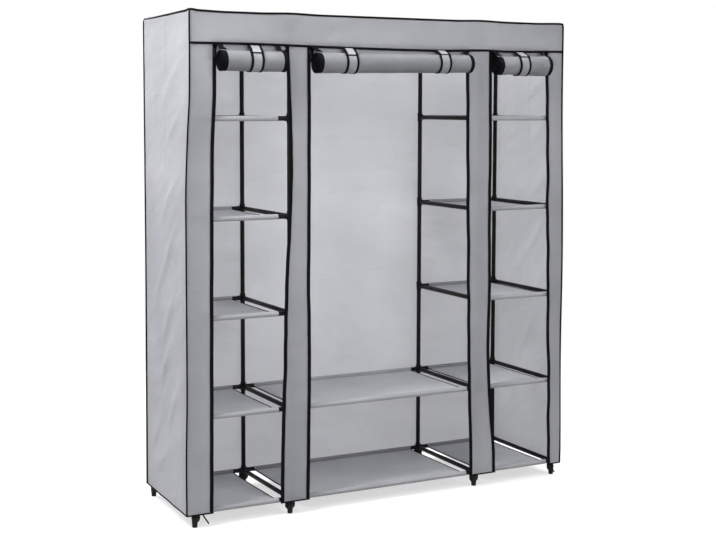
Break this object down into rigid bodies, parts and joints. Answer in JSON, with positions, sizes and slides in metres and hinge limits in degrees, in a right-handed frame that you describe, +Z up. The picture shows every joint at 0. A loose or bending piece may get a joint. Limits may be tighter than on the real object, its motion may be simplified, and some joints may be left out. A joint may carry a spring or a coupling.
{
  "type": "portable fabric wardrobe",
  "caption": "Free-standing cloth wardrobe on a plug-together tube frame, with side shelves, a hanging bay and doors rolled up under the header.",
  "frame": {"origin": "bottom centre of the bounding box, on the floor", "axes": "+Z up, +X to the right seen from the front, front faces -Y"},
  "size_m": [1.5, 0.5136, 1.72],
  "materials": {
    "frame_steel": "black powder coat, satin",
    "foot_plastic": "black moulded plastic, satin",
    "shelf_cloth": "grey non-woven cloth, dull",
    "cover_cloth": "light grey non-woven cloth, dull",
    "door_cloth": "light grey non-woven cloth, dull",
    "strap_cloth": "grey cloth with black bound edges",
    "zip_metal": "black lacquer",
    "trim": "black tape"
  },
  "bodies": {
    "wardrobe": {"end_frame_left": "frame_steel", "divider_frame_left": "frame_steel", "divider_frame_right": "frame_steel", "end_frame_right": "frame_steel", "foot_left_front": "foot_plastic", "foot_left_back": "foot_plastic", "foot_divider_left_front": "foot_plastic", "foot_divider_left_back": "foot_plastic", "foot_divider_right_front": "foot_plastic", "foot_divider_right_back": "foot_plastic", "foot_right_front": "foot_plastic", "foot_right_back": "foot_plastic", "shelf_left_1": "shelf_cloth", "shelf_left_2": "shelf_cloth", "shelf_left_3": "shelf_cloth", "shelf_left_4": "shelf_cloth", "shelf_left_5": "shelf_cloth", "shelf_middle_1": "shelf_cloth", "shelf_middle_2": "shelf_cloth", "shelf_right_1": "shelf_cloth", "shelf_right_2": "shelf_cloth", "shelf_right_3": "shelf_cloth", "shelf_right_4": "shelf_cloth", "shelf_right_5": "shelf_cloth", "top_tube_left_front": "frame_steel", "top_tube_left_back": "frame_steel", "top_tube_middle_front": "frame_steel", "top_tube_middle_back": "frame_steel", "top_tube_right_front": "frame_steel", "top_tube_right_back": "frame_steel", "hanging_rail": "frame_steel", "cover_top": "cover_cloth", "cover_back": "cover_cloth", "cover_left": "cover_cloth", "cover_right": "cover_cloth", "cover_header": "cover_cloth", "strip_left": "cover_cloth", "strip_divider_left": "cover_cloth", "strip_divider_right": "cover_cloth", "strip_right": "cover_cloth", "door_fall_left": "door_cloth", "door_fall_middle": "door_cloth", "door_fall_right": "door_cloth", "strap_left": "strap_cloth", "strap_middle_1": "strap_cloth", "strap_middle_2": "strap_cloth", "strap_right": "strap_cloth", "hem_tie_left": "trim", "hem_tie_right": "trim"},
    "door_left": {"door_roll_left": "door_cloth"},
    "zip_left_a": {"zip_slider_left_a": "zip_metal"},
    "zip_left_b": {"zip_slider_left_b": "zip_metal"},
    "door_middle": {"door_roll_middle": "door_cloth"},
    "zip_middle_a": {"zip_slider_middle_a": "zip_metal"},
    "zip_middle_b": {"zip_slider_middle_b": "zip_metal"},
    "door_right": {"door_roll_right": "door_cloth"},
    "zip_right_a": {"zip_slider_right_a": "zip_metal"},
    "zip_right_b": {"zip_slider_right_b": "zip_metal"}
  },
  "joints": [
    {"name": "door_left_unroll", "type": "slide", "parent": "wardrobe", "child": "door_left", "axis": [0, 0, -1], "range_m": [0, 1.478], "deforming": ["door_fall_left", "strap_left"]},
    {"name": "zip_left_a_slide", "type": "slide", "parent": "wardrobe", "child": "zip_left_a", "axis": [0, 0, -1], "range_m": [0, 1.518]},
    {"name": "zip_left_b_slide", "type": "slide", "parent": "wardrobe", "child": "zip_left_b", "axis": [0, 0, -1], "range_m": [0, 1.518]},
    {"name": "door_middle_unroll", "type": "slide", "parent": "wardrobe", "child": "door_middle", "axis": [0, 0, -1], "range_m": [0, 1.478], "deforming": ["door_fall_middle", "strap_middle_1", "strap_middle_2"]},
    {"name": "zip_middle_a_slide", "type": "slide", "parent": "wardrobe", "child": "zip_middle_a", "axis": [0, 0, -1], "range_m": [0, 1.518]},
    {"name": "zip_middle_b_slide", "type": "slide", "parent": "wardrobe", "child": "zip_middle_b", "axis": [0, 0, -1], "range_m": [0, 1.518]},
    {"name": "door_right_unroll", "type": "slide", "parent": "wardrobe", "child": "door_right", "axis": [0, 0, -1], "range_m": [0, 1.478], "deforming": ["door_fall_right", "strap_right"]},
    {"name": "zip_right_a_slide", "type": "slide", "parent": "wardrobe", "child": "zip_right_a", "axis": [0, 0, -1], "range_m": [0, 1.518]},
    {"name": "zip_right_b_slide", "type": "slide", "parent": "wardrobe", "child": "zip_right_b", "axis": [0, 0, -1], "range_m": [0, 1.518]}
  ],
  "couplings": [
    {"joint": "zip_left_a_slide", "follows": "door_left_unroll", "ratio": 1.027},
    {"joint": "zip_left_b_slide", "follows": "door_left_unroll", "ratio": 1.027},
    {"joint": "zip_middle_a_slide", "follows": "door_middle_unroll", "ratio": 1.027},
    {"joint": "zip_middle_b_slide", "follows": "door_middle_unroll", "ratio": 1.027},
    {"joint": "zip_right_a_slide", "follows": "door_right_unroll", "ratio": 1.027},
    {"joint": "zip_right_b_slide", "follows": "door_right_unroll", "ratio": 1.027}
  ]
}
